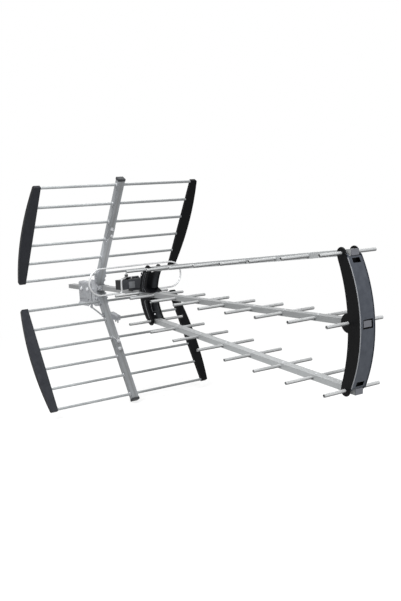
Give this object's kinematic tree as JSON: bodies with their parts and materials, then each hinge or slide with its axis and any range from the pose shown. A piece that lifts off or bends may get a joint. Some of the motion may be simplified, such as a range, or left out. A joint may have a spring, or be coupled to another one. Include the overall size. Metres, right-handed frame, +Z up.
{
  "type": "tv antenna",
  "caption": "Three fanned booms with cross rods, a folded dipole and a two-winged rod reflector, for receiving television on a vertical mast.",
  "frame": {"origin": "in the axis of the mast, at the height of the U-bolt", "axes": "+X along the middle boom towards the front of the antenna, +Y across the booms along the rods, towards the side the mast is on, +Z up along the mast"},
  "size_m": [1.228, 0.522, 0.6158],
  "materials": {
    "aluminium": "drawn, dull",
    "zinc_steel": "zinc plated sheet",
    "slate_plastic": "satin moulded",
    "black_plastic": "half gloss moulded",
    "board_green": "lacquered board"
  },
  "bodies": {
    "antenna": {"middle_boom": "aluminium", "tail_tube": "aluminium", "top_boom": "aluminium", "bottom_boom": "aluminium", "upper_arm": "aluminium", "lower_arm": "aluminium", "folded_dipole": "aluminium", "middle_director_1": "aluminium", "middle_director_2": "aluminium", "middle_director_3": "aluminium", "middle_director_4": "aluminium", "middle_director_5": "aluminium", "middle_director_6": "aluminium", "middle_director_7": "aluminium", "middle_director_8": "aluminium", "middle_director_9": "aluminium", "top_director_1": "aluminium", "top_director_2": "aluminium", "top_director_3": "aluminium", "top_director_4": "aluminium", "top_director_5": "aluminium", "top_director_6": "aluminium", "top_director_7": "aluminium", "top_director_8": "aluminium", "bottom_director_1": "aluminium", "bottom_director_2": "aluminium", "bottom_director_3": "aluminium", "bottom_director_4": "aluminium", "bottom_director_5": "aluminium", "bottom_director_6": "aluminium", "bottom_director_7": "aluminium", "bottom_director_8": "aluminium", "upper_reflector_rod_1": "aluminium", "upper_reflector_rod_2": "aluminium", "upper_reflector_rod_3": "aluminium", "upper_reflector_rod_4": "aluminium", "upper_reflector_rod_5": "aluminium", "upper_reflector_rod_6": "aluminium", "lower_reflector_rod_1": "aluminium", "lower_reflector_rod_2": "aluminium", "lower_reflector_rod_3": "aluminium", "lower_reflector_rod_4": "aluminium", "lower_reflector_rod_5": "aluminium", "lower_reflector_rod_6": "aluminium", "hub_plate_near": "zinc_steel", "hub_plate_far": "zinc_steel", "mast_clamp": "zinc_steel", "mast_u_bolt": "zinc_steel", "brace": "zinc_steel", "front_spacer": "slate_plastic", "upper_strip_near": "slate_plastic", "upper_strip_far": "slate_plastic", "lower_strip_near": "slate_plastic", "lower_strip_far": "slate_plastic", "rear_spacer_upper": "black_plastic", "rear_spacer_lower": "black_plastic", "feed_box": "black_plastic", "balun_board": "board_green"},
    "cover": {"feed_box_cover": "black_plastic"},
    "jaw": {"mast_jaw": "zinc_steel"}
  },
  "joints": [
    {"name": "cover_hinge", "type": "hinge", "parent": "antenna", "child": "cover", "pos_m": [0.2537, -0.03488, 0.0789], "axis": [0, 1, 0], "range_deg": [0, 100]},
    {"name": "jaw_slide", "type": "slide", "parent": "antenna", "child": "jaw", "axis": [0, 1, 0], "range_m": [0, 0.008]}
  ]
}
